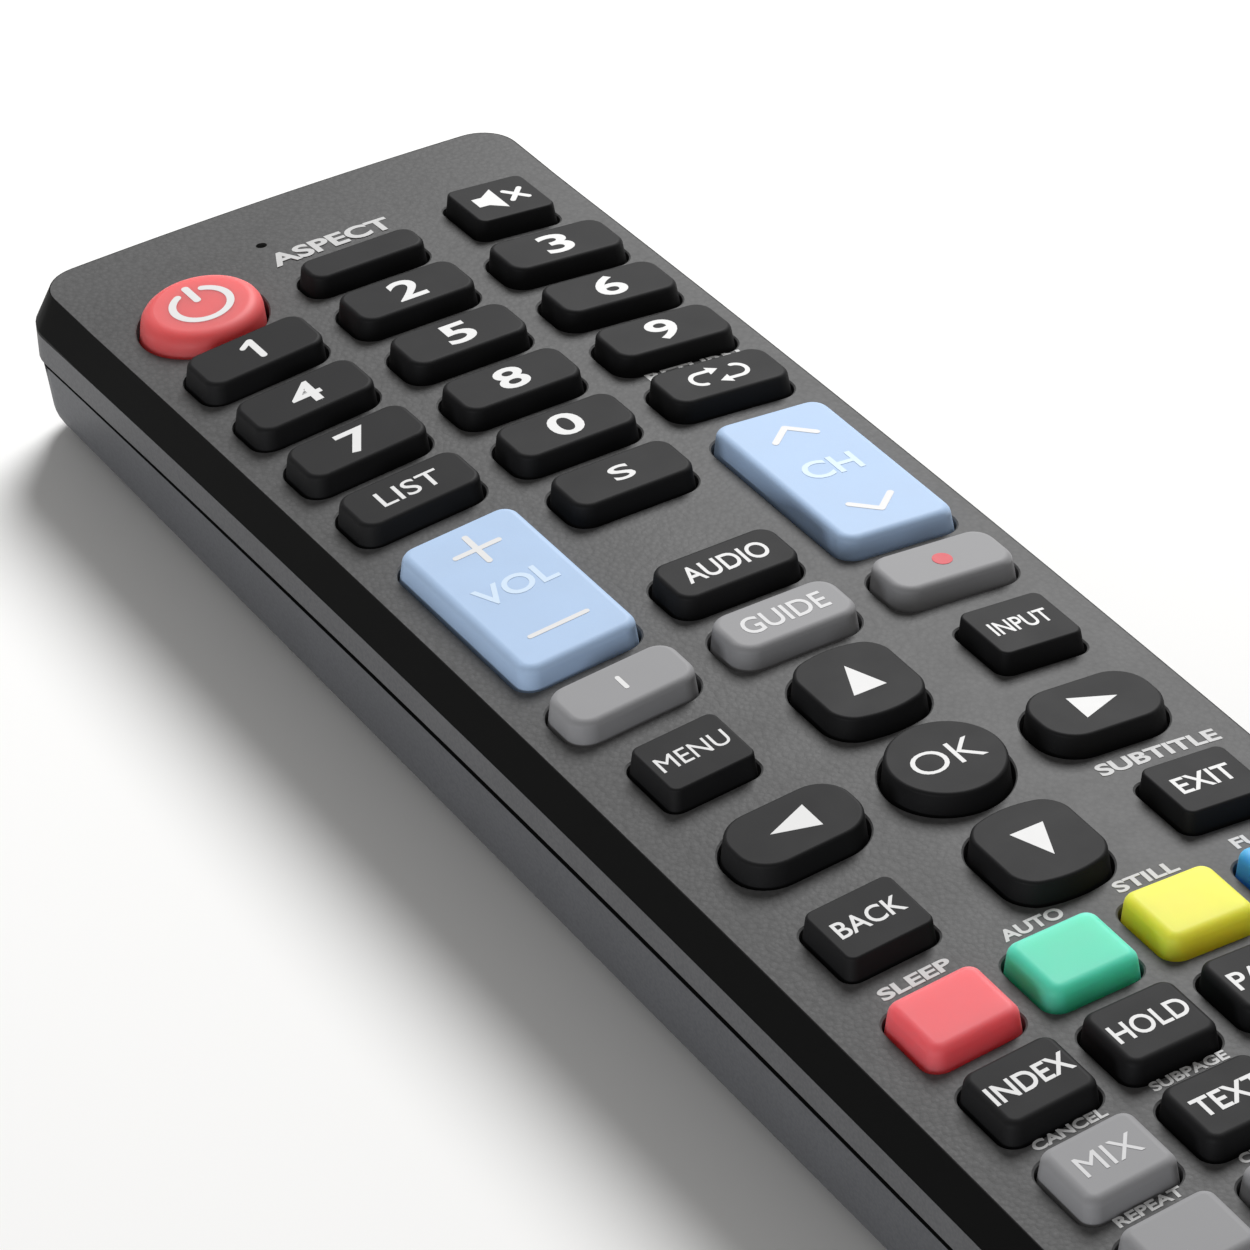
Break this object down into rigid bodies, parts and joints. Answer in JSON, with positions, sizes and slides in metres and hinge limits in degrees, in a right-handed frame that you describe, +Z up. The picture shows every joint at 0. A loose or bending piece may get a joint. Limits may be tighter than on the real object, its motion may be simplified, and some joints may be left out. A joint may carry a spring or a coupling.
{
  "type": "tv remote control",
  "caption": "Long handheld TV remote control with a crowned grey face, a black bevel frame, push keys, two rockers and a sliding battery cover.",
  "frame": {"origin": "on the surface that the remote lies on, under the middle of the case's outline", "axes": "+Z up out of the key side, +Y along the case towards the infrared end, +X to the right as it is held"},
  "size_m": [0.05, 0.225, 0.02],
  "materials": {
    "face_grey": "fine spark texture",
    "frame_black": "semi-gloss",
    "shell_grey": "fine spark texture",
    "key_black": "satin",
    "key_grey": "satin",
    "power_red": "satin, slightly cloudy",
    "rocker_blue": "satin, slightly cloudy",
    "key_red": "satin, slightly cloudy",
    "key_green": "satin, slightly cloudy",
    "key_yellow": "satin, slightly cloudy",
    "key_blue": "satin, slightly cloudy",
    "web_rubber": "matte",
    "board_green": "solder mask",
    "led_clear": "clear tinted epoxy",
    "window_dark": "polished",
    "lamp_red": "clear tinted epoxy",
    "cell_can": "printed sleeve, left plain",
    "contact_steel": "nickel plated",
    "screw_steel": "zinc plated"
  },
  "bodies": {
    "case": {"upper_case": "face_grey", "bevel_frame": "frame_black", "lower_case": "shell_grey", "keypad_web": "web_rubber", "circuit_board": "board_green", "infrared_led": "led_clear", "infrared_window": "window_dark", "indicator_lamp": "lamp_red", "aaa_cells": "cell_can", "battery_springs": "contact_steel", "contact_plates": "contact_steel", "case_screws": "screw_steel"},
    "battery_cover": {"battery_cover": "shell_grey"},
    "volume_rocker": {"volume_rocker": "rocker_blue"},
    "channel_rocker": {"channel_rocker": "rocker_blue"},
    "power_key": {"power_key": "power_red"},
    "ok_key": {"ok_key": "key_black"},
    "up_key": {"up_key": "key_black"},
    "down_key": {"down_key": "key_black"},
    "left_key": {"left_key": "key_black"},
    "right_key": {"right_key": "key_black"},
    "back_key": {"back_key": "key_black"},
    "menu_key": {"menu_key": "key_black"},
    "input_key": {"input_key": "key_black"},
    "exit_key": {"exit_key": "key_black"},
    "mute_key": {"mute_key": "key_black"},
    "aspect_key": {"aspect_key": "key_black"},
    "key_1": {"key_1": "key_black"},
    "red_key": {"red_key": "key_red"},
    "green_key": {"green_key": "key_green"},
    "yellow_key": {"yellow_key": "key_yellow"},
    "blue_key": {"blue_key": "key_blue"},
    "info_key": {"info_key": "key_grey"},
    "guide_key": {"guide_key": "key_grey"},
    "record_key": {"record_key": "key_grey"},
    "mix_key": {"mix_key": "key_grey"},
    "grey_1_key": {"grey_1_key": "key_grey"},
    "grey_2_key": {"grey_2_key": "key_grey"},
    "grey_3_key": {"grey_3_key": "key_grey"},
    "grey_4_key": {"grey_4_key": "key_grey"},
    "key_2": {"key_2": "key_black"},
    "key_3": {"key_3": "key_black"},
    "key_4": {"key_4": "key_black"},
    "key_5": {"key_5": "key_black"},
    "key_6": {"key_6": "key_black"},
    "key_7": {"key_7": "key_black"},
    "key_8": {"key_8": "key_black"},
    "key_9": {"key_9": "key_black"},
    "key_0": {"key_0": "key_black"},
    "list_key": {"list_key": "key_black"},
    "return_key": {"return_key": "key_black"},
    "select_key": {"select_key": "key_black"},
    "audio_key": {"audio_key": "key_black"},
    "index_key": {"index_key": "key_black"},
    "hold_key": {"hold_key": "key_black"},
    "page_key": {"page_key": "key_black"},
    "reveal_key": {"reveal_key": "key_black"},
    "text_key": {"text_key": "key_black"},
    "size_key": {"size_key": "key_black"},
    "mode_key": {"mode_key": "key_black"}
  },
  "joints": [
    {"name": "battery_cover_slide", "type": "slide", "parent": "case", "child": "battery_cover", "axis": [0, -1, 0], "range_m": [0, 0.057]},
    {"name": "volume_rocker_tilt", "type": "hinge", "parent": "case", "child": "volume_rocker", "pos_m": [-0.015, 0.0405, 0.014], "axis": [1, 0, 0], "range_deg": [-3.5, 3.5], "stiffness_Nm_per_rad": 0.25},
    {"name": "channel_rocker_tilt", "type": "hinge", "parent": "case", "child": "channel_rocker", "pos_m": [0.015, 0.0405, 0.014], "axis": [1, 0, 0], "range_deg": [-3.5, 3.5], "stiffness_Nm_per_rad": 0.25},
    {"name": "power_key_press", "type": "slide", "parent": "case", "child": "power_key", "axis": [0, 0, 1], "range_m": [-0.0009, 0], "stiffness_N_per_m": 400},
    {"name": "ok_key_press", "type": "slide", "parent": "case", "child": "ok_key", "axis": [0, 0, 1], "range_m": [-0.0009, 0], "stiffness_N_per_m": 400},
    {"name": "up_key_press", "type": "slide", "parent": "case", "child": "up_key", "axis": [0, 0, 1], "range_m": [-0.0009, 0], "stiffness_N_per_m": 400},
    {"name": "down_key_press", "type": "slide", "parent": "case", "child": "down_key", "axis": [0, 0, 1], "range_m": [-0.0009, 0], "stiffness_N_per_m": 400},
    {"name": "left_key_press", "type": "slide", "parent": "case", "child": "left_key", "axis": [0, 0, 1], "range_m": [-0.0009, 0], "stiffness_N_per_m": 400},
    {"name": "right_key_press", "type": "slide", "parent": "case", "child": "right_key", "axis": [0, 0, 1], "range_m": [-0.0009, 0], "stiffness_N_per_m": 400},
    {"name": "back_key_press", "type": "slide", "parent": "case", "child": "back_key", "axis": [0, 0, 1], "range_m": [-0.0009, 0], "stiffness_N_per_m": 400},
    {"name": "menu_key_press", "type": "slide", "parent": "case", "child": "menu_key", "axis": [0, 0, 1], "range_m": [-0.0009, 0], "stiffness_N_per_m": 400},
    {"name": "input_key_press", "type": "slide", "parent": "case", "child": "input_key", "axis": [0, 0, 1], "range_m": [-0.0009, 0], "stiffness_N_per_m": 400},
    {"name": "exit_key_press", "type": "slide", "parent": "case", "child": "exit_key", "axis": [0, 0, 1], "range_m": [-0.0009, 0], "stiffness_N_per_m": 400},
    {"name": "mute_key_press", "type": "slide", "parent": "case", "child": "mute_key", "axis": [0, 0, 1], "range_m": [-0.0009, 0], "stiffness_N_per_m": 400},
    {"name": "aspect_key_press", "type": "slide", "parent": "case", "child": "aspect_key", "axis": [0, 0, 1], "range_m": [-0.0009, 0], "stiffness_N_per_m": 400},
    {"name": "key_1_press", "type": "slide", "parent": "case", "child": "key_1", "axis": [0, 0, 1], "range_m": [-0.0009, 0], "stiffness_N_per_m": 400},
    {"name": "red_key_press", "type": "slide", "parent": "case", "child": "red_key", "axis": [0, 0, 1], "range_m": [-0.0009, 0], "stiffness_N_per_m": 400},
    {"name": "green_key_press", "type": "slide", "parent": "case", "child": "green_key", "axis": [0, 0, 1], "range_m": [-0.0009, 0], "stiffness_N_per_m": 400},
    {"name": "yellow_key_press", "type": "slide", "parent": "case", "child": "yellow_key", "axis": [0, 0, 1], "range_m": [-0.0009, 0], "stiffness_N_per_m": 400},
    {"name": "blue_key_press", "type": "slide", "parent": "case", "child": "blue_key", "axis": [0, 0, 1], "range_m": [-0.0009, 0], "stiffness_N_per_m": 400},
    {"name": "info_key_press", "type": "slide", "parent": "case", "child": "info_key", "axis": [0, 0, 1], "range_m": [-0.0009, 0], "stiffness_N_per_m": 400},
    {"name": "guide_key_press", "type": "slide", "parent": "case", "child": "guide_key", "axis": [0, 0, 1], "range_m": [-0.0009, 0], "stiffness_N_per_m": 400},
    {"name": "record_key_press", "type": "slide", "parent": "case", "child": "record_key", "axis": [0, 0, 1], "range_m": [-0.0009, 0], "stiffness_N_per_m": 400},
    {"name": "mix_key_press", "type": "slide", "parent": "case", "child": "mix_key", "axis": [0, 0, 1], "range_m": [-0.0009, 0], "stiffness_N_per_m": 400},
    {"name": "grey_1_key_press", "type": "slide", "parent": "case", "child": "grey_1_key", "axis": [0, 0, 1], "range_m": [-0.0009, 0], "stiffness_N_per_m": 400},
    {"name": "grey_2_key_press", "type": "slide", "parent": "case", "child": "grey_2_key", "axis": [0, 0, 1], "range_m": [-0.0009, 0], "stiffness_N_per_m": 400},
    {"name": "grey_3_key_press", "type": "slide", "parent": "case", "child": "grey_3_key", "axis": [0, 0, 1], "range_m": [-0.0009, 0], "stiffness_N_per_m": 400},
    {"name": "grey_4_key_press", "type": "slide", "parent": "case", "child": "grey_4_key", "axis": [0, 0, 1], "range_m": [-0.0009, 0], "stiffness_N_per_m": 400},
    {"name": "key_2_press", "type": "slide", "parent": "case", "child": "key_2", "axis": [0, 0, 1], "range_m": [-0.0009, 0], "stiffness_N_per_m": 400},
    {"name": "key_3_press", "type": "slide", "parent": "case", "child": "key_3", "axis": [0, 0, 1], "range_m": [-0.0009, 0], "stiffness_N_per_m": 400},
    {"name": "key_4_press", "type": "slide", "parent": "case", "child": "key_4", "axis": [0, 0, 1], "range_m": [-0.0009, 0], "stiffness_N_per_m": 400},
    {"name": "key_5_press", "type": "slide", "parent": "case", "child": "key_5", "axis": [0, 0, 1], "range_m": [-0.0009, 0], "stiffness_N_per_m": 400},
    {"name": "key_6_press", "type": "slide", "parent": "case", "child": "key_6", "axis": [0, 0, 1], "range_m": [-0.0009, 0], "stiffness_N_per_m": 400},
    {"name": "key_7_press", "type": "slide", "parent": "case", "child": "key_7", "axis": [0, 0, 1], "range_m": [-0.0009, 0], "stiffness_N_per_m": 400},
    {"name": "key_8_press", "type": "slide", "parent": "case", "child": "key_8", "axis": [0, 0, 1], "range_m": [-0.0009, 0], "stiffness_N_per_m": 400},
    {"name": "key_9_press", "type": "slide", "parent": "case", "child": "key_9", "axis": [0, 0, 1], "range_m": [-0.0009, 0], "stiffness_N_per_m": 400},
    {"name": "key_0_press", "type": "slide", "parent": "case", "child": "key_0", "axis": [0, 0, 1], "range_m": [-0.0009, 0], "stiffness_N_per_m": 400},
    {"name": "list_key_press", "type": "slide", "parent": "case", "child": "list_key", "axis": [0, 0, 1], "range_m": [-0.0009, 0], "stiffness_N_per_m": 400},
    {"name": "return_key_press", "type": "slide", "parent": "case", "child": "return_key", "axis": [0, 0, 1], "range_m": [-0.0009, 0], "stiffness_N_per_m": 400},
    {"name": "select_key_press", "type": "slide", "parent": "case", "child": "select_key", "axis": [0, 0, 1], "range_m": [-0.0009, 0], "stiffness_N_per_m": 400},
    {"name": "audio_key_press", "type": "slide", "parent": "case", "child": "audio_key", "axis": [0, 0, 1], "range_m": [-0.0009, 0], "stiffness_N_per_m": 400},
    {"name": "index_key_press", "type": "slide", "parent": "case", "child": "index_key", "axis": [0, 0, 1], "range_m": [-0.0009, 0], "stiffness_N_per_m": 400},
    {"name": "hold_key_press", "type": "slide", "parent": "case", "child": "hold_key", "axis": [0, 0, 1], "range_m": [-0.0009, 0], "stiffness_N_per_m": 400},
    {"name": "page_key_press", "type": "slide", "parent": "case", "child": "page_key", "axis": [0, 0, 1], "range_m": [-0.0009, 0], "stiffness_N_per_m": 400},
    {"name": "reveal_key_press", "type": "slide", "parent": "case", "child": "reveal_key", "axis": [0, 0, 1], "range_m": [-0.0009, 0], "stiffness_N_per_m": 400},
    {"name": "text_key_press", "type": "slide", "parent": "case", "child": "text_key", "axis": [0, 0, 1], "range_m": [-0.0009, 0], "stiffness_N_per_m": 400},
    {"name": "size_key_press", "type": "slide", "parent": "case", "child": "size_key", "axis": [0, 0, 1], "range_m": [-0.0009, 0], "stiffness_N_per_m": 400},
    {"name": "mode_key_press", "type": "slide", "parent": "case", "child": "mode_key", "axis": [0, 0, 1], "range_m": [-0.0009, 0], "stiffness_N_per_m": 400}
  ]
}
